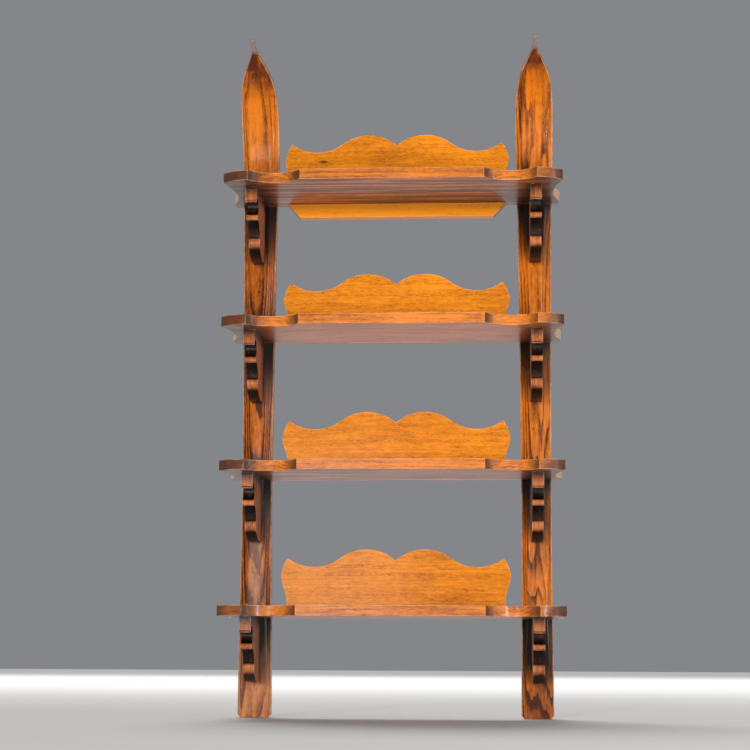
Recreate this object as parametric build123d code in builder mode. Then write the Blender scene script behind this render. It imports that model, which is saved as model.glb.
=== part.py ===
"""Wall shelf with four tiers, carried by a pair of short wooden skis with their tips bent forward.

Millimetres. +X is to the right as seen from the front, +Y is towards the wall, +Z is up.
The origin lies on the wall plane, midway between the two hanging holes.
"""
from build123d import *
import math
import os

# Driving dimensions ---------------------------------------------------------------------------
board = 18                      # thickness of the planed boards
tier_gaps = (260, 256, 252)     # from one shelf's underside to the next, top to bottom
top_tier_z = 60                 # underside of the top shelf above the hanging holes
ski_spacing = 511               # between the two skis' centre lines

shelf_depth = 205
front_half = 163                # half length of the straight middle of the front edge
quirk = 5                       # small step back beside the straight middle
hollow_depth = 26               # how far the hollow beside it runs back
nose_x = 256                    # pointed nose in front of each ski
lobe_x = 302                    # outermost point of the front lobe
waist_x = 288                   # long waist between the front lobe and the rear knob
knob_x = 302                    # outermost point of the round knob at the wall

ski_tail_z = -886
ski_waist_z = -500
ski_bend_z = 103                # the base leaves the wall plane here
ski_shovel_z = 205
tail_width, waist_width, shovel_width, stub_width = 60, 54.5, 69.4, 7
tip_radius, tip_angle, tip_straight = 248, 56, 52
tail_thickness, body_thickness, bend_thickness, tip_thickness = 11, 22, 14, 7
body_low_z, body_high_z = -400, -140    # the thick middle of the ski
bevel_x, bevel_height, bevel_slope = 31, 7, 0.7
groove_width, groove_depth, groove_angle = 10, 2.5, 40

bracket_thickness, bracket_height, bracket_setback = 20, 114, 50
backboard_half, backboard_foot_half = 209, 198
backboard_lift = (2, -3, -5, -5)  # the hand-sawn boards aren't all one height
apron_top_half, apron_bottom_half, apron_height, apron_thickness = 203, 180, 25, 20

screw_length, screw_radius, screw_head_radius, screw_slot = 45, 2, 4, 1
bracket_screw_drops = (25, 90)  # below the shelf's underside
nail_radius, nail_head_radius, nail_head = 1.1, 2, 1
plate_length, plate_width, plate_thickness = 44, 16, 2
hanging_hole_radius, hanging_pocket_radius, hanging_pocket_depth = 3.5, 7, 8
plate_screw_pitch, plate_screw_length, plate_screw_radius, plate_screw_head = 30, 12, 1.5, 3

# Worked out from them -------------------------------------------------------------------------
tier_z = [top_tier_z - sum(tier_gaps[:n]) for n in range(len(tier_gaps) + 1)]
sides = {"left": -ski_spacing / 2, "right": ski_spacing / 2}
front = -shelf_depth


def save(builder, label):
    """Labels one finished sub-part and writes it."""
    builder.part.label = label
    export_step(builder.part, f"parts/{label}.step")


# Fasteners ------------------------------------------------------------------------------------
def screw_group(plane, points, length, radius, head_radius, slot=0):
    """Countersunk screws with their heads on the plane, driven along its normal."""
    head = head_radius - radius
    with BuildPart() as shape:
        with BuildSketch(Plane.XZ):
            Polygon(
                (0, 0), (head_radius, 0), (radius, head), (radius, length - 2 * radius),
                (0, length), align=None,
            )
        revolve(axis=Axis.Z)
        if slot:
            Box(3 * head_radius, slot, slot, mode=Mode.SUBTRACT)
    with BuildPart(plane) as group:
        with Locations(*points):
            add(shape.part)
    return group


def nail_group(plane, points, length):
    """Flat-headed nails with their heads flush with the plane, driven along its normal."""
    with BuildPart(plane) as group:
        with Locations(*points):
            Cylinder(nail_radius, length, align=(Align.CENTER, Align.CENTER, Align.MIN))
            Cylinder(nail_head_radius, nail_head, align=(Align.CENTER, Align.CENTER, Align.MIN))
    return group


wall = Plane.XZ                 # its normal runs from the wall into the wood
groove_bottom = wall.offset(groove_depth)
screw_points = [
    (x, z + rise)
    for x in sides.values()
    for z in tier_z
    for rise in (board / 2, *[-drop for drop in bracket_screw_drops])
]
back_screw_holes = screw_group(
    groove_bottom, screw_points, screw_length, screw_radius, screw_head_radius
)
back_screws = screw_group(
    groove_bottom, screw_points, screw_length, screw_radius, screw_head_radius, slot=screw_slot
)

plate_screw_points = [
    (x, z) for x in sides.values() for z in (-plate_screw_pitch / 2, plate_screw_pitch / 2)
]
plate_screw_holes = screw_group(
    wall, plate_screw_points, plate_screw_length, plate_screw_radius, plate_screw_head
)
hanger_screws = screw_group(
    wall, plate_screw_points, plate_screw_length, plate_screw_radius, plate_screw_head,
    slot=screw_slot,
)

bracket_nail_points = [(x, y) for x in sides.values() for y in (-140, -80)]
backboard_nail_points = [(x, -board / 2) for x in (-140, 0, 140)]
apron_nail_points = [(x, -apron_thickness / 2) for x in (-70, 70)]

bracket_nails = [
    nail_group(
        Plane((0, 0, z + board), x_dir=(1, 0, 0), z_dir=(0, 0, -1)),
        [(x, -y) for x, y in bracket_nail_points], 38,
    )
    for z in tier_z
]
backboard_nails = [nail_group(Plane.XY.offset(z), backboard_nail_points, 45) for z in tier_z]
apron_nails = nail_group(Plane.XY.offset(top_tier_z - apron_height), apron_nail_points, 38)


# Skis -----------------------------------------------------------------------------------------
def side_point(angle, thickness, beyond=0):
    """A point in the side view on or above the base's bend, or on the straight beyond it."""
    reach = tip_radius - thickness
    turn = math.radians(angle)
    return (
        reach * math.cos(turn) - tip_radius - beyond * math.sin(turn),
        ski_bend_z + reach * math.sin(turn) + beyond * math.cos(turn),
    )


def base_path(x, angle):
    """The base's line in the side view: up the wall, then round the bend."""
    with BuildLine(Plane.YZ.offset(x)) as path:
        Line((0, ski_tail_z - 5), (0, ski_bend_z))
        JernArc(start=(0, ski_bend_z), tangent=(0, 1), radius=tip_radius, arc_size=angle)
    return path


def front_plane(x):
    """The wall plane seen from the front, centred on one ski, with its normal to the front."""
    return Plane((x, 0, 0), x_dir=(1, 0, 0), z_dir=(0, -1, 0))


def make_blank(x):
    """One ski standing on its tail, base to the wall, before anything is cut into its base."""
    with BuildPart() as blank:
        with BuildSketch(Plane.YZ.offset(x)):
            with BuildLine():
                Line((0, ski_tail_z), (0, ski_bend_z))
                JernArc(
                    start=(0, ski_bend_z), tangent=(0, 1), radius=tip_radius, arc_size=tip_angle
                )
                Polyline(
                    side_point(tip_angle, 0),
                    side_point(tip_angle, 0, tip_straight),
                    side_point(tip_angle, tip_thickness, tip_straight),
                    side_point(tip_angle, tip_thickness),
                )
                ThreePointArc(
                    side_point(tip_angle, tip_thickness),
                    side_point(tip_angle / 2, (bend_thickness + tip_thickness) / 2),
                    side_point(0, bend_thickness),
                )
                Polyline(
                    side_point(0, bend_thickness),
                    (-body_thickness, body_high_z),
                    (-body_thickness, body_low_z),
                    (-tail_thickness, ski_tail_z),
                    (0, ski_tail_z),
                )
            make_face()
        extrude(amount=shovel_width, both=True)

        # Side cut, shovel and stub, seen from the front
        with BuildSketch(front_plane(x)):
            with BuildLine():
                Polyline(
                    (0, ski_tail_z), (tail_width / 2 - 5, ski_tail_z), (tail_width / 2, ski_tail_z + 6)
                )
                Spline(
                    (tail_width / 2, ski_tail_z + 6), (waist_width / 2, ski_waist_z),
                    (31, 0), (shovel_width / 2, ski_shovel_z),
                )
                Spline(
                    (shovel_width / 2, ski_shovel_z), (33.6, 250), (29.8, 277), (23.4, 293.4),
                    (14, 307.7), (8.2, 316), (stub_width / 2, 326), tangents=((0, 1), (0, 1)),
                )
                Polyline((stub_width / 2, 326), (stub_width / 2, 345), (0, 345), (0, ski_tail_z))
            make_face()
            mirror(about=Plane.YZ)
        extrude(amount=shelf_depth, mode=Mode.INTERSECT)

        # The deck slopes down to both edges, more so where the ski is thick
        with BuildSketch(Plane((x, 0, ski_tail_z - 5))):
            ridge_height = body_thickness + 6
            ridge_x = bevel_x - (ridge_height - bevel_height) / bevel_slope
            Polygon(
                (ridge_x, -ridge_height), (bevel_x + 10, bevel_slope * 10 - bevel_height),
                (bevel_x + 10, -ridge_height), align=None,
            )
            mirror(about=Plane.YZ)
        sweep(path=base_path(x, tip_angle).wire(), mode=Mode.SUBTRACT)

    return blank


def make_ski(x, blank):
    """The blank with its tracking groove, the hanging plate's seat and every screw hole."""
    with BuildPart() as ski:
        add(blank.part)
        with BuildSketch(Plane((x, 0, ski_tail_z - 5))):
            Rectangle(groove_width, 2 * groove_depth)
        sweep(path=base_path(x, groove_angle).wire(), mode=Mode.SUBTRACT)

        with BuildSketch(front_plane(x)):
            Rectangle(plate_width, plate_length)
        extrude(amount=plate_thickness, mode=Mode.SUBTRACT)
        with BuildSketch(front_plane(x)):
            Circle(hanging_pocket_radius)
        extrude(amount=plate_thickness + hanging_pocket_depth, mode=Mode.SUBTRACT)
        add(back_screw_holes.part, mode=Mode.SUBTRACT)
        add(plate_screw_holes.part, mode=Mode.SUBTRACT)
    return ski


def make_hanger_plate(x):
    """A flat plate let into the ski's base, with a hole that hooks over a peg in the wall."""
    with BuildPart() as plate:
        with BuildSketch(front_plane(x)):
            Rectangle(plate_width, plate_length)
            Circle(hanging_hole_radius, mode=Mode.SUBTRACT)
        extrude(amount=plate_thickness)
        add(plate_screw_holes.part, mode=Mode.SUBTRACT)
    return plate


# Shelves, brackets, backboards and apron ------------------------------------------------------
def make_shelf(n):
    """One shelf: straight in the middle, hollow and pointed beside it, a knob at each rear end."""
    with BuildPart() as shelf:
        with BuildSketch(Plane.XY.offset(tier_z[n])):
            with BuildLine():
                quirk_end = (front_half + 3, front + quirk)
                nose = (nose_x, front + quirk - 1)
                lobe = (lobe_x, front + 27)
                waist = (waist_x, front + 108)
                knob = (knob_x - 2, -32)
                Polyline((0, 0), (0, front), (front_half, front), quirk_end)
                ThreePointArc(quirk_end, ((quirk_end[0] + nose_x) / 2, front + hollow_depth), nose)
                ThreePointArc(nose, (281, front + 10), lobe)
                ThreePointArc(lobe, (291.5, front + 70), waist)
                ThreePointArc(waist, (291, -62), knob)
                ThreePointArc(knob, (knob_x, -16), (knob_x - 3, 0))
                Line((knob_x - 3, 0), (0, 0))
            make_face()
            mirror(about=Plane.YZ)
        extrude(amount=board)
        for blank in blanks.values():
            add(blank.part, mode=Mode.SUBTRACT)
        add(back_screw_holes.part, mode=Mode.SUBTRACT)
        add(bracket_nails[n].part, mode=Mode.SUBTRACT)
        add(backboard_nails[n].part, mode=Mode.SUBTRACT)
        if n == 0:
            add(apron_nails.part, mode=Mode.SUBTRACT)
    return shelf


def make_bracket(x, n, blank):
    """A fretted bracket on the ski's deck: nose, notch, bead, cove and a round foot."""
    nose_y = front + bracket_setback
    with BuildPart() as bracket:
        with BuildSketch(Plane((x, 0, tier_z[n]), x_dir=(0, 1, 0), z_dir=(1, 0, 0))):
            with BuildLine():
                Polyline((0, 0), (nose_y, 0), (nose_y, -24), (nose_y + 3, -28))
                ThreePointArc((nose_y + 3, -28), (nose_y + 32, -37), (nose_y + 21, -47))
                ThreePointArc((nose_y + 21, -47), (nose_y + 19, -52), (nose_y + 21, -57))
                ThreePointArc((nose_y + 21, -57), (nose_y + 50, -63), (nose_y + 59, -79))
                ThreePointArc((nose_y + 59, -79), (nose_y + 57, -90), (nose_y + 62, -100))
                ThreePointArc(
                    (nose_y + 62, -100), (nose_y + 80, -110), (nose_y + 105, -bracket_height)
                )
                Polyline((nose_y + 105, -bracket_height), (0, -bracket_height), (0, 0))
            make_face()
        extrude(amount=bracket_thickness / 2, both=True)
        add(blank.part, mode=Mode.SUBTRACT)
        add(back_screw_holes.part, mode=Mode.SUBTRACT)
        add(bracket_nails[n].part, mode=Mode.SUBTRACT)
    return bracket


def make_backboard(n):
    """A scalloped board standing on the shelf against the wall: two humps between two ears."""
    with BuildPart() as backboard:
        with BuildSketch(Plane.XZ):
            foot = (backboard_foot_half, tier_z[n] + board)
            z = foot[1] + backboard_lift[n]
            with BuildLine():
                Polyline((0, z + 92), (0, foot[1]), foot)
                ThreePointArc(foot, (199, z + 22), (202, z + 38))
                ThreePointArc((202, z + 38), (206.5, z + 50), (backboard_half, z + 64))
                ThreePointArc((backboard_half, z + 64), (205, z + 80), (196, z + 96))
                ThreePointArc((196, z + 96), (148, z + 80), (101, z + 96))
                ThreePointArc((101, z + 96), (51, z + 112), (0, z + 92))
            make_face()
            mirror(about=Plane.YZ)
        extrude(amount=board)
        add(backboard_nails[n].part, mode=Mode.SUBTRACT)
    return backboard


def make_apron():
    """A rail with slanting ends under the rear edge of the top shelf."""
    with BuildPart() as apron:
        with BuildSketch(Plane.XZ):
            Polygon(
                (-apron_top_half, top_tier_z), (apron_top_half, top_tier_z),
                (apron_bottom_half, top_tier_z - apron_height),
                (-apron_bottom_half, top_tier_z - apron_height), align=None,
            )
        extrude(amount=apron_thickness)
        add(apron_nails.part, mode=Mode.SUBTRACT)
    return apron


def joined(groups):
    """Several groups of identical fasteners as one sub-part."""
    with BuildPart() as whole:
        for group in groups:
            add(group.part)
    return whole


# Make and write every sub-part ----------------------------------------------------------------
os.makedirs("parts", exist_ok=True)

blanks = {side: make_blank(x) for side, x in sides.items()}
for side, x in sides.items():
    save(make_ski(x, blanks[side]), f"{side}_ski")
    save(make_hanger_plate(x), f"{side}_hanger_plate")
    for n in range(len(tier_z)):
        save(make_bracket(x, n, blanks[side]), f"{side}_bracket_{n + 1}")
for n in range(len(tier_z)):
    save(make_shelf(n), f"shelf_{n + 1}")
    save(make_backboard(n), f"backboard_{n + 1}")
save(make_apron(), "apron")
save(back_screws, "back_screws")
save(hanger_screws, "hanger_screws")
save(joined(bracket_nails), "bracket_nails")
save(joined(backboard_nails), "backboard_nails")
save(apron_nails, "apron_nails")
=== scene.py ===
"""Wall shelf made from a pair of old wooden skis: varnished boards and worn skis around the CAD frame.

Lengths are metres in the frame's axes: +X to the right, +Y into the wall, +Z up.
"""
import math
import random
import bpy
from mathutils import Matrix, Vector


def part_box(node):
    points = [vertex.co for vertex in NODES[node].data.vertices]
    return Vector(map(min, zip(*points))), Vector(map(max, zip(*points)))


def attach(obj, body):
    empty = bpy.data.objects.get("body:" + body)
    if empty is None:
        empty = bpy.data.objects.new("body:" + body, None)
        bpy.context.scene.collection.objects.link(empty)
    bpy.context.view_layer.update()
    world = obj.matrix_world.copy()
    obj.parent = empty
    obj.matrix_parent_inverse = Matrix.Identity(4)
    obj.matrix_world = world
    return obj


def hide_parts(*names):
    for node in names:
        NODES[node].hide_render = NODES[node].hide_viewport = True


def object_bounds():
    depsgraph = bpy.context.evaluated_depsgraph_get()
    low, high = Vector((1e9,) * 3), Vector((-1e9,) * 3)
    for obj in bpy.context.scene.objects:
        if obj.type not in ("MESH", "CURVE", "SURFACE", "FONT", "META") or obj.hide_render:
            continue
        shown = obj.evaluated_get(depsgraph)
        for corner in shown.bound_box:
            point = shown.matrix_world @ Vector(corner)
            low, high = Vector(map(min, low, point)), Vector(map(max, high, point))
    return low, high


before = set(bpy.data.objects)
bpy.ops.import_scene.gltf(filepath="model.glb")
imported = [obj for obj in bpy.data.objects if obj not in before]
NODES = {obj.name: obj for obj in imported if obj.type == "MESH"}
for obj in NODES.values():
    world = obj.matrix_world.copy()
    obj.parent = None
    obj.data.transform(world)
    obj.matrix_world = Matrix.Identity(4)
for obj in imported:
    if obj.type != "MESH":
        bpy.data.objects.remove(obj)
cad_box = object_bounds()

from types import SimpleNamespace

import bmesh
import bpy
from mathutils import Matrix, Vector

rng = random.Random(11)
MM = 0.001
X, Y, Z = 0, 1, 2
SIDES = ("left", "right")
TIERS = (1, 2, 3, 4)


def rgb(r, g, b):
    """A linear colour from 8-bit sRGB values."""
    def lin(c):
        c /= 255
        return c / 12.92 if c <= 0.04045 else ((c + 0.055) / 1.055) ** 2.4
    return (lin(r), lin(g), lin(b), 1.0)


def smooth(x, low, high):
    """0 below low, 1 above high and an S curve between them."""
    t = min(1.0, max(0.0, (x - low) / (high - low)))
    return t * t * (3 - 2 * t)


# Camera and light -----------------------------------------------------------------------------
CAMERA_PLACE = (0.1684, -3.3629, -0.7918)
CAMERA_YAW, CAMERA_PITCH, CAMERA_ROLL = (math.radians(angle) for angle in (-3.543, 7.811, 0.268))
CAMERA_LENS, CAMERA_SHIFT = 88.47, 0.05
FLOOR_REACH, FLOOR_COLOUR = 30, (0.62, 0.61, 0.6, 1)
SKY_STRENGTH, SKY_COLOUR = 0.25, (0.93, 0.95, 1.0, 1)
WARM = (1, 0.97, 0.93)


def make_camera():
    yaw, pitch, roll = CAMERA_YAW, CAMERA_PITCH, CAMERA_ROLL
    ahead = Vector((math.sin(yaw) * math.cos(pitch), math.cos(yaw) * math.cos(pitch), math.sin(pitch)))
    right = Vector((math.cos(yaw), -math.sin(yaw), 0))
    up = right.cross(ahead)
    right, up = (
        math.cos(roll) * right + math.sin(roll) * up,
        math.cos(roll) * up - math.sin(roll) * right,
    )
    data = bpy.data.cameras.new("camera")
    data.sensor_width = 36
    data.lens = CAMERA_LENS
    data.shift_y = CAMERA_SHIFT
    data.clip_end = 100
    cam = bpy.data.objects.new("camera", data)
    rows = [(right[i], up[i], -ahead[i], CAMERA_PLACE[i]) for i in (X, Y, Z)]
    cam.matrix_world = Matrix((*rows, (0, 0, 0, 1)))
    bpy.context.scene.collection.objects.link(cam)
    bpy.context.scene.camera = cam


def add_light(name, kind, power, direction, place=(0, 0, 3), colour=(1, 1, 1), gloss=True, **settings):
    data = bpy.data.lights.new(name, kind)
    data.energy = power
    data.color = colour
    for key, value in settings.items():
        setattr(data, key, value)
    lamp = bpy.data.objects.new(name, data)
    lamp.location = place
    lamp.rotation_euler = Vector(direction).to_track_quat("-Z", "Y").to_euler()
    lamp.visible_camera = False
    lamp.visible_glossy = gloss
    bpy.context.scene.collection.objects.link(lamp)


def make_floor():
    lowest = cad_box[0][Z]
    mesh = bpy.data.meshes.new("floor")
    corners = [(-1, -1), (1, -1), (1, 1), (-1, 1)]
    mesh.from_pydata([(x * FLOOR_REACH, y * FLOOR_REACH, lowest) for x, y in corners], [], [(0, 1, 2, 3)])
    floor = bpy.data.objects.new("floor", mesh)
    bpy.context.scene.collection.objects.link(floor)
    mat = bpy.data.materials.new("pale_floor")
    mat.use_nodes = True
    shader = mat.node_tree.nodes["Principled BSDF"]
    shader.inputs["Base Color"].default_value = FLOOR_COLOUR
    shader.inputs["Roughness"].default_value = 1.0
    shader.inputs["Specular IOR Level"].default_value = 0.0
    mesh.materials.append(mat)


def make_studio():
    make_floor()
    world = bpy.data.worlds.new("studio")
    world.use_nodes = True
    sky = world.node_tree.nodes["Background"]
    sky.inputs["Color"].default_value = SKY_COLOUR
    sky.inputs["Strength"].default_value = SKY_STRENGTH
    bpy.context.scene.world = world
    bpy.context.scene.view_settings.view_transform = "Standard"

    # The key shines from the front left; the softboxes draw the sheen on the varnish
    add_light("key", "SUN", 1.8, (0.21, 0.97, -0.10), angle=math.radians(9), colour=WARM, gloss=False)
    add_light("overhead", "SUN", 1.7, (0.15, -0.5, -1), angle=math.radians(30), gloss=False)
    add_light("rear", "AREA", 420, (0, 0.1, -1), (0, 7.0, 3.2),
              shape="RECTANGLE", size=14, size_y=9, spread=math.radians(120))
    add_light("low_softbox", "AREA", 4.5, (-1.1, 2.0, 0.85), (1.0, -2.1, -0.7),
              shape="DISK", size=0.3, spread=math.radians(90), colour=WARM)
    add_light("front_softbox", "AREA", 3.6, (0.4, 3.5, 0.05), (-0.5, -3.6, -0.4),
              shape="RECTANGLE", size=0.7, size_y=0.8, spread=math.radians(80), colour=WARM)
    add_light("right_softbox", "AREA", 14, (-2.6, 1.2, -0.4), (2.6, -1.3, 0.2),
              shape="RECTANGLE", size=0.5, size_y=1.8)


# Materials ------------------------------------------------------------------------------------
class Nodes:
    """Short calls for building a material's node tree."""

    def __init__(self, name):
        self.mat = bpy.data.materials.new(name)
        self.mat.use_nodes = True
        self.tree = self.mat.node_tree
        self.shader = self.tree.nodes["Principled BSDF"]

    def add(self, kind, **settings):
        node = self.tree.nodes.new("ShaderNode" + kind)
        for key, value in settings.items():
            setattr(node, key, value)
        return node

    def put(self, socket, value):
        if isinstance(value, bpy.types.NodeSocket):
            self.tree.links.new(value, socket)
        elif value is not None:
            socket.default_value = value

    def math(self, operation, a, b=None, clamp=False):
        node = self.add("Math", operation=operation, use_clamp=clamp)
        for socket, value in zip(node.inputs, (a, b)):
            self.put(socket, value)
        return node.outputs[0]

    def vector(self, operation, a, b=None, out=0):
        node = self.add("VectorMath", operation=operation)
        for socket, value in zip(node.inputs, (a, b)):
            self.put(socket, value)
        return node.outputs[out]

    def dot(self, a, b):
        return self.vector("DOT_PRODUCT", a, b, out=1)

    def axes(self, coords):
        split = self.add("SeparateXYZ")
        self.put(split.inputs[0], coords)
        return split.outputs

    def place(self):
        """The point in the object's own coordinates, which here are the frame's."""
        return self.add("TexCoord").outputs["Object"]

    def mask(self, name):
        """A number stored on the mesh."""
        return self.add("Attribute", attribute_name=name).outputs["Fac"]

    def noise(self, coords, stretch, detail=2.0, roughness=0.5, distortion=0.0, shift=(0, 0, 0)):
        """Noise with stretch cells per metre on each axis."""
        scaled = self.vector("MULTIPLY", coords, stretch)
        scaled = self.vector("ADD", scaled, shift)
        node = self.add("TexNoise")
        self.put(node.inputs["Vector"], scaled)
        node.inputs["Scale"].default_value = 1
        node.inputs["Detail"].default_value = detail
        node.inputs["Roughness"].default_value = roughness
        node.inputs["Distortion"].default_value = distortion
        return node.outputs["Fac"]

    def step(self, value, low, high, to=(0, 1)):
        node = self.add("MapRange", interpolation_type="SMOOTHSTEP")
        for socket, v in zip(node.inputs, (value, low, high, *to)):
            self.put(socket, v)
        return node.outputs[0]

    def mix(self, factor, a, b):
        node = self.add("Mix", data_type="RGBA")
        self.put(node.inputs[0], factor)
        self.put(node.inputs[6], a)
        self.put(node.inputs[7], b)
        return node.outputs[2]

    def relief(self, height, strength, distance):
        bump = self.add("Bump")
        bump.inputs["Strength"].default_value = strength
        bump.inputs["Distance"].default_value = distance
        self.put(bump.inputs["Height"], height)
        self.put(self.shader.inputs["Normal"], bump.outputs[0])


# The second colour here is painted shade in corners, the third painted shade in the brackets' hollows.
END_GRAIN, PAINTED_SHADE_COLOUR, HOLLOW_SHADE_COLOUR = rgb(48, 21, 10), rgb(12, 5, 3), rgb(10, 5, 4)
# The first colour darkens the shelves' ends, the second the streaks on downward faces; the third is a
# painted sheen on the knobs.
END_DARKENING, UNDERSIDE_STREAK, KNOB_SHEEN = rgb(66, 33, 18), rgb(58, 30, 24), rgb(214, 186, 164)
# The second colour is painted shade on the curled ski tips, the third a painted sheen on the stubs.
BURN, TIP_SHADE_COLOUR, STUB_SHEEN_GREY = rgb(60, 24, 8), rgb(88, 36, 20), rgb(142, 124, 116)
GREYED_LIGHT, GREYED_DARK = rgb(206, 160, 128), rgb(118, 72, 48)
WORN = rgb(228, 184, 138)
NOISE_MIDDLE = 0.47
EDGE_RADIUS = 0.0026


def growth_rings(n, grain, ring_pitch, pith, tilt):
    """Late wood, 0 to 1, in rings round a tilted pith line. They wander along the board."""
    wander = n.noise(grain, (2.2, 7, 7), detail=2)
    wander = n.math("MULTIPLY", n.math("SUBTRACT", wander, 0.5), 0.034)
    ripple = n.noise(grain, (14, 60, 60), detail=3, shift=(3, 1, 7))
    ripple = n.math("MULTIPLY", n.math("SUBTRACT", ripple, 0.5), 0.0045)
    along, across, through = n.axes(grain)
    y = n.math("ADD", n.math("ADD", across, pith[0]), n.math("ADD", wander, ripple))
    z = n.math("ADD", n.math("ADD", through, pith[1]), n.math("MULTIPLY", along, tilt))
    z = n.math("ADD", z, n.math("MULTIPLY", wander, 0.8))
    radius = n.math("SQRT", n.math("ADD", n.math("MULTIPLY", y, y), n.math("MULTIPLY", z, z)))
    uneven = n.noise(grain, (1.5, 42, 42), detail=2, shift=(6, 6, 1))
    phase = n.math("ADD", n.math("MULTIPLY", radius, 1000 / ring_pitch), n.math("MULTIPLY", uneven, 2.6))
    phase = n.math("FRACT", phase)
    late_wood = n.math("MULTIPLY", n.step(phase, 0.35, 0.93), n.step(phase, 0.94, 1.0, (1, 0)))
    strength = n.noise(grain, (5, 30, 30), detail=1, shift=(8, 2, 5))
    return n.math("MULTIPLY", late_wood, n.step(strength, 0.25, 0.75, (0.35, 1.0)))


def wood_patterns(n, grain):
    """The noises that colour, wear and relief share."""
    p = SimpleNamespace()
    p.fibre = n.noise(grain, (26, 900, 900), detail=3, roughness=0.6)
    p.streak = n.noise(grain, (7, 160, 160), detail=3, roughness=0.55, shift=(2, 4, 6))
    speck = n.noise(grain, (160, 900, 900), detail=2, roughness=0.6, shift=(5, 9, 1))
    p.speck = n.math("MULTIPLY", n.step(speck, 0.54, 0.66), n.step(p.streak, 0.40, 0.62, (0.25, 1)))
    p.blotch = n.noise(grain, (9, 26, 26), detail=4, roughness=0.6, shift=(1, 6, 2))
    p.mottle = n.noise(grain, (70, 210, 210), detail=3, roughness=0.6, shift=(9, 2, 2))
    p.scuff = n.noise(grain, (60, 90, 90), detail=4, roughness=0.65, shift=(4, 4, 9))
    return p


def shelf_wear_and_sheen(n, colour, p, grain, tint, normal, dark_ends, worn):
    """Darker ends, dark streaks underneath and a painted cream sheen on the knobs by the wall."""
    x, y, _ = n.axes(n.place())
    outward = n.math("ABSOLUTE", n.math("SUBTRACT", x, 0.018))
    # Darker towards both ends of the shelf.
    dark_end = n.math("MULTIPLY", n.step(outward, 0.215, 0.275), n.step(p.blotch, 0.3, 0.6, (0.7, 1)))
    colour = n.mix(n.math("MULTIPLY", dark_end, dark_ends), colour, END_DARKENING)

    # Dark streaks on faces that look down.
    beneath = n.math("MULTIPLY", n.dot(normal, (0, 0, -1)), 0.75)
    underside_streaks = n.noise(grain, (4, 75, 75), detail=4, roughness=0.65, shift=(3, 3, 5))
    underside_streaks = n.math("MULTIPLY", n.step(underside_streaks, 0.42, 0.6), n.step(tint, 0.06, 0.13, (0.15, 1)))
    underside_streaks = n.math("MULTIPLY", underside_streaks, beneath, clamp=True)
    colour = n.mix(underside_streaks, colour, UNDERSIDE_STREAK)

    # Painted sheen: a cream colour on the upright faces of the knobs by the wall.
    level = n.math("ABSOLUTE", n.dot(normal, (0, 0, 1)))
    knob_sheen = n.math("MULTIPLY", n.step(y, -0.095, -0.075), n.step(level, 0.3, 0.6, (1, 0)))
    knob_sheen = n.math("MULTIPLY", knob_sheen, n.step(outward, 0.258, 0.268))
    knob_sheen = n.math("MULTIPLY", knob_sheen, n.step(p.mottle, 0.35, 0.6, (0.45, 0.95)))
    colour = n.mix(knob_sheen, colour, KNOB_SHEEN)
    colour = n.mix(underside_streaks, colour, UNDERSIDE_STREAK)

    sideways = n.math("ABSOLUTE", n.dot(normal, (1, 0, 0)))
    scraped = n.math("MULTIPLY", n.step(y, -0.15, -0.125), n.step(sideways, 0.25, 0.4))
    scraped = n.math("MULTIPLY", scraped, n.step(outward, 0.26, 0.27))
    scraped = n.math("MULTIPLY", scraped, n.step(p.mottle, 0.35, 0.6, (0.25, 0.85)))
    return n.mix(scraped, colour, worn)


def paint_hollow_shade(n, colour, p):
    """Painted shade, nearly black, in a carved bracket's hollows."""
    shade_amount = n.math("MULTIPLY", n.mask("hollow"), n.step(p.mottle, 0.2, 0.5, (0.75, 0.97)))
    return n.mix(shade_amount, colour, HOLLOW_SHADE_COLOUR)


def burn_mark(n, colour, p, centre):
    """A brown spot round a point. It shows only on the board that lies there."""
    away = n.vector("SUBTRACT", n.place(), centre)
    away = n.vector("MULTIPLY", away, (62, 0, 190))
    spot = n.math("SUBTRACT", 1.15, n.vector("LENGTH", away, out=1))
    spot = n.math("SUBTRACT", spot, n.math("MULTIPLY", p.mottle, 0.9))
    return n.mix(n.step(spot, 0.0, 0.45, (0, 0.8)), colour, BURN)


def ski_wear_and_painted_light(n, colour, p, grain, darkness, worn):
    """Painted shade on the curled tips, worn wood with painted sheen on foot and middle, painted rim light
    on the sides and painted grey sheen on the stubs, from the mesh's masks.
    """
    patch = n.noise(grain, (22, 40, 40), detail=5, roughness=0.7, shift=(7, 3, 3))
    # Painted shade: the tip darkens where it curls forward.
    soot = n.math("MULTIPLY", n.mask("soot"), n.step(patch, 0.36, 0.62, (0.45, 1.0)))
    colour = n.mix(soot, colour, TIP_SHADE_COLOUR)
    # Worn wood drawn grey on the foot and the middle, partly a painted sheen.
    bare = n.math("MULTIPLY", n.mask("bare"), n.step(patch, 0.30, 0.62, (0.55, 1.0)))
    greyed = n.mix(n.math("MULTIPLY", darkness, 0.8), GREYED_LIGHT, GREYED_DARK)
    colour = n.mix(bare, colour, greyed)
    # Painted rim light: the worn colour drawn on the ski's sides.
    rim = n.math("MULTIPLY", n.mask("rim"), n.step(p.scuff, 0.36, 0.56, (0.35, 0.8)))
    colour = n.mix(rim, colour, worn)
    # Painted sheen: the stub drawn grey.
    return n.mix(n.mask("stub"), colour, STUB_SHEEN_GREY)


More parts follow.
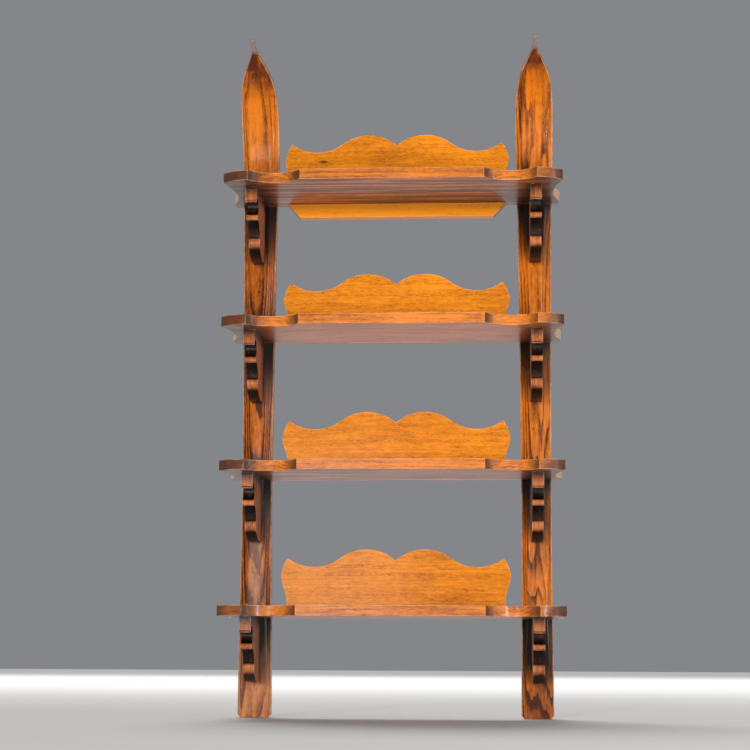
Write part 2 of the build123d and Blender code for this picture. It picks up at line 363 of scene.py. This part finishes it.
def wood(name, light, dark, worn, ring_pitch, pith, tilt, late, edge_wear, flecks=0.4, gloss=0.3,
         end_stain=0.8, fibre_axis=(1, 0, 0), painted_shade_reach=0.03, painted_shade=0.8, painted_shade_range=(0.35, 0.9),
         contrast=1.0, streaks=0.8, sheen=0.6, dark_ends=0.0, carved=False, burn=None, ski=False):
    """Varnished softwood. Its grain follows the mesh's grain attribute: x along, y across, z through.

    ring_pitch is in millimetres. The last four name the marks of one kind of piece: darker ends, painted
    shade in carved hollows, a burn mark and the ski's wear and painted light.
    """
    n = Nodes(name)
    grain = n.add("Attribute", attribute_name="grain").outputs["Vector"]
    tint = n.mask("tint")
    late_wood = growth_rings(n, grain, ring_pitch, pith, tilt)
    p = wood_patterns(n, grain)

    darkness = n.math("MULTIPLY", late_wood, late)
    for pattern, weight in ((p.fibre, 0.6), (p.streak, streaks), (p.blotch, 0.9), (p.mottle, 0.9)):
        pattern = n.math("SUBTRACT", pattern, NOISE_MIDDLE)
        darkness = n.math("ADD", darkness, n.math("MULTIPLY", pattern, weight * contrast))
    darkness = n.math("ADD", darkness, n.math("MULTIPLY", p.speck, flecks))
    darkness = n.math("ADD", darkness, tint, clamp=True)
    colour = n.mix(darkness, light, dark)

    normal = n.add("NewGeometry").outputs["Normal"]
    end = n.math("ABSOLUTE", n.dot(normal, fibre_axis))
    end = n.math("ADD", end, n.math("MULTIPLY", n.math("SUBTRACT", p.blotch, 0.5), 0.5))
    colour = n.mix(n.step(end, 0.3, 0.85, (0, end_stain)), colour, END_GRAIN)
    if dark_ends:
        colour = shelf_wear_and_sheen(n, colour, p, grain, tint, normal, dark_ends, worn)

    # Painted shade in the corners, then the finish worn off the edges
    corner = n.add("AmbientOcclusion", samples=6)
    corner.inputs["Distance"].default_value = painted_shade_reach
    corner_shade = n.step(corner.outputs["AO"], *painted_shade_range, (painted_shade, 0.0))
    # On the skis the painted shade falls only under the shelves, where the beneath mask is high.
    if ski:
        corner_shade = n.math("MULTIPLY", corner_shade, n.mask("beneath"))
    colour = n.mix(corner_shade, colour, PAINTED_SHADE_COLOUR)
    bevel = n.add("Bevel", samples=6)
    bevel.inputs["Radius"].default_value = EDGE_RADIUS
    edge = n.math("SUBTRACT", 1.0, n.dot(bevel.outputs[0], normal))
    edge = n.math("MULTIPLY", n.step(edge, 0.01, 0.08), n.step(p.scuff, 0.40, 0.58, (0.12, 1)))
    colour = n.mix(n.math("MULTIPLY", edge, edge_wear), colour, worn)

    # Painted shade in the hollows of the carving.
    if carved:
        colour = paint_hollow_shade(n, colour, p)
    if burn:
        colour = burn_mark(n, colour, p, burn)
    if ski:
        colour = ski_wear_and_painted_light(n, colour, p, grain, darkness, worn)
    n.put(n.shader.inputs["Base Color"], colour)

    rough = n.math("ADD", n.math("MULTIPLY", p.blotch, 0.16), gloss)
    rough = n.math("ADD", rough, n.math("MULTIPLY", edge, 0.2))
    rough = n.math("ADD", rough, n.math("MULTIPLY", p.fibre, 0.08))
    n.put(n.shader.inputs["Roughness"], rough)
    n.shader.inputs["Coat Weight"].default_value = 0.15
    n.shader.inputs["Coat Roughness"].default_value = 0.14
    n.shader.inputs["Specular IOR Level"].default_value = sheen

    height = n.math("MULTIPLY", p.fibre, 0.35)
    height = n.math("SUBTRACT", height, n.math("MULTIPLY", late_wood, 0.45))
    height = n.math("SUBTRACT", height, n.math("MULTIPLY", p.speck, 0.5))
    height = n.math("ADD", height, n.math("MULTIPLY", p.streak, 0.5))
    height = n.math("ADD", height, n.math("MULTIPLY", p.scuff, n.math("MULTIPLY", edge, 0.8)))
    if ski:
        wave = n.noise(grain, (480, 25, 25), detail=1, distortion=0.4, shift=(1, 1, 1))
        chatter = n.math("MULTIPLY", wave, n.mask("chatter"))
        height = n.math("ADD", height, n.math("MULTIPLY", chatter, 2.4))
    n.relief(height, 0.75, 0.0006)
    return n.mat


def steel(name, colour, rust):
    """Dull fastener steel with spots of rust."""
    n = Nodes(name)
    place = n.place()
    spots = n.noise(place, (420, 420, 420), detail=4, roughness=0.7)
    spots = n.step(spots, 0.46, 0.66, (0, rust))
    fine = n.noise(place, (2200, 2200, 2200), detail=2)
    uneven = n.math("ADD", spots, fine)
    n.put(n.shader.inputs["Base Color"], n.mix(spots, colour, rgb(96, 52, 30)))
    n.put(n.shader.inputs["Metallic"], n.math("SUBTRACT", 0.95, n.math("MULTIPLY", spots, 0.8)))
    n.put(n.shader.inputs["Roughness"], n.math("ADD", 0.32, n.math("MULTIPLY", uneven, 0.25)))
    n.relief(uneven, 0.4, 0.0002)
    return n.mat


BURN_PLACE = (-0.137, 0.0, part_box("backboard_1")[1][2] - 0.050)
MATERIALS = {
    "shelf_pine": wood("shelf_pine", rgb(222, 124, 22), rgb(96, 36, 8), WORN, ring_pitch=4.6,
                       pith=(0.02, 0.05), tilt=0.03, late=0.3, flecks=0.5, edge_wear=0.6, dark_ends=0.9),
    "backboard_pine": wood("backboard_pine", rgb(234, 144, 22), rgb(124, 48, 6), WORN, ring_pitch=6.5,
                           pith=(-0.02, 0.04), tilt=0.02, late=0.06, flecks=0.5, end_stain=0.5,
                           painted_shade=0.3, contrast=0.95, streaks=0.35, edge_wear=0.6, sheen=0.15,
                           burn=BURN_PLACE),
    "bracket_pine": wood("bracket_pine", rgb(190, 110, 60), rgb(60, 26, 12), rgb(216, 170, 132),
                         ring_pitch=4.0, pith=(0.03, 0.03), tilt=0.05, late=0.3, end_stain=0.97,
                         fibre_axis=(0, 0, 1), painted_shade_reach=0.024, painted_shade=1.0, painted_shade_range=(0.62, 1.0),
                         contrast=1.3, edge_wear=0.6, sheen=0.2, carved=True),
    "ski_wood": wood("ski_wood", rgb(220, 120, 20), rgb(74, 26, 6), rgb(214, 166, 130), ring_pitch=4.0,
                     pith=(0.014, 0.024), tilt=0.03, late=0.85, gloss=0.25, end_stain=0.0,
                     painted_shade_reach=0.12, painted_shade=1.0, painted_shade_range=(0.62, 1.02), edge_wear=1.0, sheen=0.2,
                     ski=True),
    "plate_steel": steel("plate_steel", (0.55, 0.55, 0.53, 1), 0.5),
    "fastener_steel": steel("fastener_steel", (0.4, 0.39, 0.37, 1), 0.8),
}


# Boards ---------------------------------------------------------------------------------------
HOLLOW_REACH = 0.019
HOLLOW_SHALLOW, HOLLOW_DEEP = 0.0025, 0.010
EASED_ANGLE = math.radians(28)


def set_attribute(mesh, name, kind, values, domain="POINT"):
    layer = mesh.attributes.new(name, kind, domain)
    if kind == "FLOAT_VECTOR":
        layer.data.foreach_set("vector", [number for value in values for number in value])
    else:
        layer.data.foreach_set("value", values)


def finish_piece(obj, node, slot):
    obj.data.materials.append(MATERIALS[slot])
    bpy.context.scene.collection.objects.link(obj)
    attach(obj, "root")
    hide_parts(node)


def hollow_faces(mesh):
    """1 on front faces that lie well behind the carving just above them, 0 elsewhere."""
    points = [(v.co.y, v.co.z) for v in mesh.vertices]
    depths = []
    for face in mesh.polygons:
        ahead = [face.center.y - y for y, z in points if 0 < z - face.center.z < HOLLOW_REACH]
        sideways = abs(face.normal.x) > 0.5
        depths.append(0.0 if sideways or not ahead else smooth(max(ahead), HOLLOW_SHALLOW, HOLLOW_DEEP))
    return depths


def clean_copy(node):
    """A CAD mesh with its triangles joined into flat faces, smooth across its curves."""
    mesh = bpy.data.meshes.new("worn_" + node)
    bm = bmesh.new()
    bm.from_mesh(NODES[node].data)
    bmesh.ops.remove_doubles(bm, verts=bm.verts, dist=1e-5)
    bmesh.ops.dissolve_limit(bm, angle_limit=math.radians(1.0), verts=bm.verts, edges=bm.edges)
    bm.to_mesh(mesh)
    bm.free()
    mesh.materials.clear()
    for name in list(mesh.attributes.keys()):
        if name in ("UVMap", "Color"):
            mesh.attributes.remove(mesh.attributes[name])
    mesh.shade_smooth()
    mesh.set_sharp_from_angle(angle=EASED_ANGLE)
    return mesh


def worn_board(node, slot, axes, tint, rounding=1.1):
    """A copy of a CAD board with edges eased by rounding millimetres and its own stretch of grain.

    axes names which row axes lie along, across and through the grain.
    """
    mesh = clean_copy(node)
    low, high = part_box(node)
    centre = [(a + b) / 2 for a, b in zip(low, high)]
    start = (rng.uniform(-4, 4), rng.uniform(-0.012, 0.012), rng.uniform(-0.008, 0.008))
    signs = (rng.choice((-1, 1)), 1, 1)
    set_attribute(mesh, "grain", "FLOAT_VECTOR", [
        [sign * (v.co[axis] - centre[axis]) + offset for sign, axis, offset in zip(signs, axes, start)]
        for v in mesh.vertices
    ])
    set_attribute(mesh, "tint", "FLOAT", [tint] * len(mesh.vertices))
    # hollow marks the bracket faces that get painted shade.
    if slot == "bracket_pine":
        set_attribute(mesh, "hollow", "FLOAT", hollow_faces(mesh), "FACE")
    obj = bpy.data.objects.new("worn_" + node, mesh)
    bevel = obj.modifiers.new("eased_edges", "BEVEL")
    bevel.width = rounding * MM
    bevel.segments = 3
    bevel.limit_method = "ANGLE"
    bevel.angle_limit = EASED_ANGLE
    bevel.harden_normals = True
    bevel.use_clamp_overlap = True
    finish_piece(obj, node, slot)


# Skis -----------------------------------------------------------------------------------------
TAIL_Z, WAIST_Z, BEND_Z = -0.886, -0.5, 0.103
BEND_R, BEND_ANGLE, STRAIGHT = 0.248, math.radians(56), 0.052
FLAT_LENGTH = BEND_Z - TAIL_Z
SKI_LENGTH = FLAT_LENGTH + BEND_R * BEND_ANGLE + STRAIGHT
THICKNESS = (  # length from the tail, and millimetres there
    (0, 11), (0.486, 22), (0.746, 22), (FLAT_LENGTH, 14), (FLAT_LENGTH + BEND_R * BEND_ANGLE, 7),
)
TAIL_CORNER, TAIL_CORNER_HEIGHT = 5, 0.006
ROUNDED_END, ROUNDED_EDGE = 1.2 * MM, 1.3 * MM
RIDGE_START, RIDGE_SLOPE, RIDGE_BLEND = 7 * MM, 0.7, 1.1 * MM
DECK_STEPS = 34
GROOVE_DEPTH, GROOVE_HALF, GROOVE_END = 2.7 * MM, 5 * MM, 0.96 + BEND_R * 0.70
SEAT_CUTTER = (16.5 * MM, 4.2 * MM, 44.5 * MM)


def curve_through(points, x):
    """Smooth value at x through points sorted by their first number."""
    if x <= points[0][0]:
        return points[0][1]
    for i in range(len(points) - 1):
        (x0, y0), (x1, y1) = points[i], points[i + 1]
        if x <= x1:
            before = points[max(i - 1, 0)]
            after = points[min(i + 2, len(points) - 1)]
            m0 = (y1 - before[1]) / (x1 - before[0])
            m1 = (after[1] - y0) / (after[0] - x0)
            h = x1 - x0
            t = (x - x0) / h
            return (
                (2 * t**3 - 3 * t**2 + 1) * y0 + (t**3 - 2 * t**2 + t) * h * m0
                + (3 * t**2 - 2 * t**3) * y1 + (t**3 - t**2) * h * m1
            )
    return points[-1][1]


def line_through(points, x):
    """Value at x on straight lines through points sorted by their first number."""
    for (x0, y0), (x1, y1) in zip(points, points[1:]):
        if x <= x1:
            return y0 + (y1 - y0) * max(0.0, (x - x0) / (x1 - x0))
    return points[-1][1]


def ski_frame(s):
    """Base point (y, z), direction towards the deck and thickness at length s from the tail."""
    turn = min(max((s - FLAT_LENGTH) / BEND_R, 0.0), BEND_ANGLE)
    beyond = max(0.0, s - FLAT_LENGTH - BEND_R * BEND_ANGLE)
    y = -BEND_R * (1 - math.cos(turn)) - beyond * math.sin(turn)
    z = min(TAIL_Z + s, BEND_Z) + BEND_R * math.sin(turn) + beyond * math.cos(turn)
    return y, z, (-math.cos(turn), -math.sin(turn)), line_through(THICKNESS, s) * MM


def ski_half_width(z, tail):
    """Half the width at height z, for a ski that is 2 * tail millimetres wide at the tail."""
    body = curve_through((
        (TAIL_Z, tail), (-0.69, tail * 0.945), (WAIST_Z, 27.25), (-0.25, 28.6), (0, 31), (0.103, 33.2),
        (0.165, 34.4), (0.205, 34.7), (0.25, 33.6), (0.277, 29.8), (0.2934, 23.4), (0.3077, 14.0),
        (0.316, 8.2), (0.3205, 5.4), (0.326, 3.6), (0.34, 3.3), (0.4, 3.3),
    ), z)
    corner = TAIL_CORNER * max(0.0, 1 - (z - TAIL_Z) / TAIL_CORNER_HEIGHT)
    return (body - corner) * MM


def deck_height(x, thick):
    """Height of the deck above the base: flat in the middle, sloping down to the edges."""
    slope = RIDGE_START + RIDGE_SLOPE * (31 * MM - abs(x))
    blend = max(RIDGE_BLEND - abs(thick - slope), 0) / RIDGE_BLEND
    return min(thick, slope) - blend * blend * RIDGE_BLEND / 4


def base_half(s, w, flat):
    """Points on the left half of the base, as (across, height), with the groove in the middle."""
    groove = GROOVE_DEPTH * smooth(GROOVE_END - s, 0, 0.02)
    half = min(GROOVE_HALF, flat * 0.4)
    across = [-flat * 0.75, -flat * 0.5, -half - 0.6 * MM, -half - 0.2 * MM, -half, -half + 0.3 * MM,
              -half + 1.0 * MM, -half * 0.3]
    depths = [0, 0, 0, 0.3 * MM, 0.8 * MM, 2.2 * MM, 2.7 * MM, 2.7 * MM]
    if w < 9 * MM:
        across = [-flat * (1 - 2 * (i + 1) / 17) for i in range(8)]
        depths = [0] * 8
    return [(x, depth / GROOVE_DEPTH * groove) for x, depth in zip(across, depths)]


def ski_section(s, tail):
    """Points round the ski at length s, as (across, height above the base)."""
    _, z, _, thick = ski_frame(s)
    w = ski_half_width(z, tail)
    ease = min(ROUNDED_EDGE, w * 0.3)
    foot = ease * 0.7
    top = [(w - ease) * math.cos(math.pi * i / DECK_STEPS) for i in range(DECK_STEPS + 1)]
    points = [(x, deck_height(x, thick)) for x in top]

    rim = deck_height(w - ease, thick)
    side = []
    for a in (22, 45, 68):
        c, q = math.cos(math.radians(a)), math.sin(math.radians(a))
        side.append((-(w - ease) - ease * q, rim - ease * (1 - c)))
    side += [(-w, rim - ease), (-w, foot)]
    for a in (30, 60, 90):
        c, q = math.cos(math.radians(a)), math.sin(math.radians(a))
        side.append((-w + foot * (1 - c), foot * (1 - q)))

    base = base_half(s, w, w - foot)
    points += side + base
    points += [(-x, h) for x, h in reversed(base)]
    points += [(-x, h) for x, h in reversed(side)]

    from_end = min(s, SKI_LENGTH - s)
    shrink = ROUNDED_END * (1 - math.sqrt(max(0.0, 1 - (1 - min(from_end / ROUNDED_END, 1)) ** 2)))
    if shrink:
        points = [
            (x - math.copysign(min(shrink, abs(x)), x), h + shrink * (1 - 2 * h / max(thick, 1e-4)))
            for x, h in points
        ]
    return points


def ski_stations():
    """Lengths at which the ski has a ring of points, closer together at its ends and in the tip."""
    tail_end, tip_start, tip_span = 0.009, SKI_LENGTH - 0.1, 0.0988
    return (
        [0, 0.0002, 0.0006, 0.0012, 0.003, 0.006, tail_end]
        + [tail_end + (tip_start - tail_end) * i / 190 for i in range(1, 191)]
        + [tip_start + tip_span * i / 60 for i in range(1, 61)]
        + [SKI_LENGTH - 0.0006, SKI_LENGTH - 0.0002, SKI_LENGTH]
    )


def ski_masks(s, look):
    """The masks that are the same all round the ski at length s."""
    above_foot = smooth(s, 0.09, 0.2)
    return {
        "tint": (look.body_tint * above_foot * (1 - smooth(s, 0.93, 1.05))
                 + look.foot_tint * (1 - above_foot)),
        "soot": smooth(s, *look.soot_from),
        "stub": smooth(s, SKI_LENGTH - 0.034, SKI_LENGTH - 0.02),
    }


def make_ski(side, x_centre, look):
    """One ski with its worn surface, whose masks tell the ski material where each kind of wear and of
    painted light and shade is.
    """
    masks = {name: [] for name in ("tint", "soot", "bare", "stub", "chatter", "rim", "beneath")}
    verts, grain = [], []
    brackets = [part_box(f"{side}_bracket_{n}") for n in TIERS]
    stations = ski_stations()
    for s in stations:
        y, z, (ny, nz), _ = ski_frame(s)
        near_tip = smooth(s, SKI_LENGTH - 0.035, SKI_LENGTH)
        wide = 1 + look.stub_flare * smooth(s, SKI_LENGTH - 0.016, SKI_LENGTH - 0.004)
        ring = ski_section(s, look.tail)
        half_width = max(x for x, h in ring)
        front = max(h for x, h in ring)
        shaded = max(
            smooth(z, low[Z] - 0.01, low[Z] + 0.04) * (1 - smooth(z, high[Z], high[Z] + 0.004))
            for low, high in brackets
        )
        # Worn wood and painted sheen on the foot and the middle.
        bare_foot = look.bare_foot * (1 - smooth(s, 0.09, 0.16))
        bare_middle = look.bare_middle * smooth(s, 0.12, 0.2) * (1 - smooth(s, 0.36, 0.5))
        around = ski_masks(s, look)
        for x, h in ring:
            verts.append((x_centre + x * wide + look.lean * near_tip, y + ny * h, z + nz * h))
            grain.append((s + 20 * x_centre, x * (1 + 0.5 * near_tip) + 0.02 * x_centre, h))
            for name, value in around.items():
                masks[name].append(value)
            masks["bare"].append(max(bare_foot, bare_middle * (1 - smooth(abs(x), 0.006, 0.014))))
            masks["chatter"].append(smooth(-x, -0.012, 0.022) * (1 - smooth(s, 0.16, 0.30)))
            # rim marks the ski's sides, where rim light is painted.
            masks["rim"].append(
                smooth(abs(x), half_width * 0.9, half_width) * smooth(h, front * 0.2, front * 0.5)
            )
            # beneath is high where the painted shade under a shelf falls.
            masks["beneath"].append(0.12 + 0.88 * shaded)

    count = len(ring)
    faces = [
        (i * count + j, i * count + (j + 1) % count, (i + 1) * count + (j + 1) % count, (i + 1) * count + j)
        for i in range(len(stations) - 1) for j in range(count)
    ]
    faces.append(tuple(reversed(range(count))))
    faces.append(tuple(range((len(stations) - 1) * count, len(stations) * count)))
    mesh = bpy.data.meshes.new(side + "_worn_ski")
    mesh.from_pydata(verts, [], faces)
    bm = bmesh.new()
    bm.from_mesh(mesh)
    bmesh.ops.recalc_face_normals(bm, faces=bm.faces)
    bm.to_mesh(mesh)
    bm.free()
    set_attribute(mesh, "grain", "FLOAT_VECTOR", grain)
    for name, values in masks.items():
        set_attribute(mesh, name, "FLOAT", values)
    mesh.shade_smooth()
    mesh.set_sharp_from_angle(angle=math.radians(50))
    obj = bpy.data.objects.new(side + "_worn_ski", mesh)
    finish_piece(obj, side + "_ski", "ski_wood")
    cut_hanger_seat(obj, x_centre)


def cut_hanger_seat(ski, x_centre):
    """Cuts the recess that the hanging plate lies in."""
    bm = bmesh.new()
    bmesh.ops.create_cube(bm, size=1)
    bmesh.ops.scale(bm, vec=SEAT_CUTTER, verts=bm.verts)
    bmesh.ops.translate(bm, vec=(x_centre, 0, 0), verts=bm.verts)
    mesh = bpy.data.meshes.new("seat_cutter")
    bm.to_mesh(mesh)
    bm.free()
    cutter = bpy.data.objects.new("seat_cutter", mesh)
    bpy.context.scene.collection.objects.link(cutter)
    cut = ski.modifiers.new("seat", "BOOLEAN")
    cut.operation = "DIFFERENCE"
    cut.solver = "EXACT"
    cut.object = cutter
    bpy.context.view_layer.update()
    done = bpy.data.meshes.new_from_object(ski.evaluated_get(bpy.context.evaluated_depsgraph_get()))
    ski.modifiers.clear()
    ski.data = done
    bpy.data.objects.remove(cutter)


# Make everything ------------------------------------------------------------------------------
SHELF_TINTS = (0.14, 0.03, 0.1, 0.08)
BACKBOARD_TINTS = (0.15, 0.12, 0.2, 0.2)
LEFT_SKI = SimpleNamespace(
    tail=31.0, lean=-0.0016, stub_flare=0.0, soot_from=(1.14, 1.205),
    bare_foot=0.45, bare_middle=0.5, body_tint=0.46, foot_tint=0.3,
)
RIGHT_SKI = SimpleNamespace(
    tail=29.4, lean=0.0004, stub_flare=0.18, soot_from=(1.17, 1.235),
    bare_foot=0.0, bare_middle=0.05, body_tint=0.1, foot_tint=0.5,
)
STEEL_SLOTS = {
    "left_hanger_plate": "plate_steel", "right_hanger_plate": "plate_steel",
    "hanger_screws": "fastener_steel", "back_screws": "fastener_steel",
    "bracket_nails": "fastener_steel", "backboard_nails": "fastener_steel",
    "apron_nails": "fastener_steel",
}

make_camera()
make_studio()

for n, tint in zip(TIERS, SHELF_TINTS):
    worn_board(f"shelf_{n}", "shelf_pine", (X, Y, Z), tint)
for n, tint in zip(TIERS, BACKBOARD_TINTS):
    worn_board(f"backboard_{n}", "backboard_pine", (X, Z, Y), tint, rounding=1.4)
# The apron's tint of -0.2 paints it lighter: painted light that makes up for the shade the top shelf casts
# on it.
worn_board("apron", "backboard_pine", (X, Z, Y), -0.2)
for side in SIDES:
    for n in TIERS:
        worn_board(f"{side}_bracket_{n}", "bracket_pine", (Z, Y, X), rng.uniform(-0.05, 0.12), rounding=1.0)

half_spacing = (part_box("right_hanger_plate")[0][X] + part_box("right_hanger_plate")[1][X]) / 2
make_ski("left", -half_spacing, LEFT_SKI)
make_ski("right", half_spacing, RIGHT_SKI)

for node, slot in STEEL_SLOTS.items():
    NODES[node].data.materials.clear()
    NODES[node].data.materials.append(MATERIALS[slot])

bpy.context.view_layer.update()
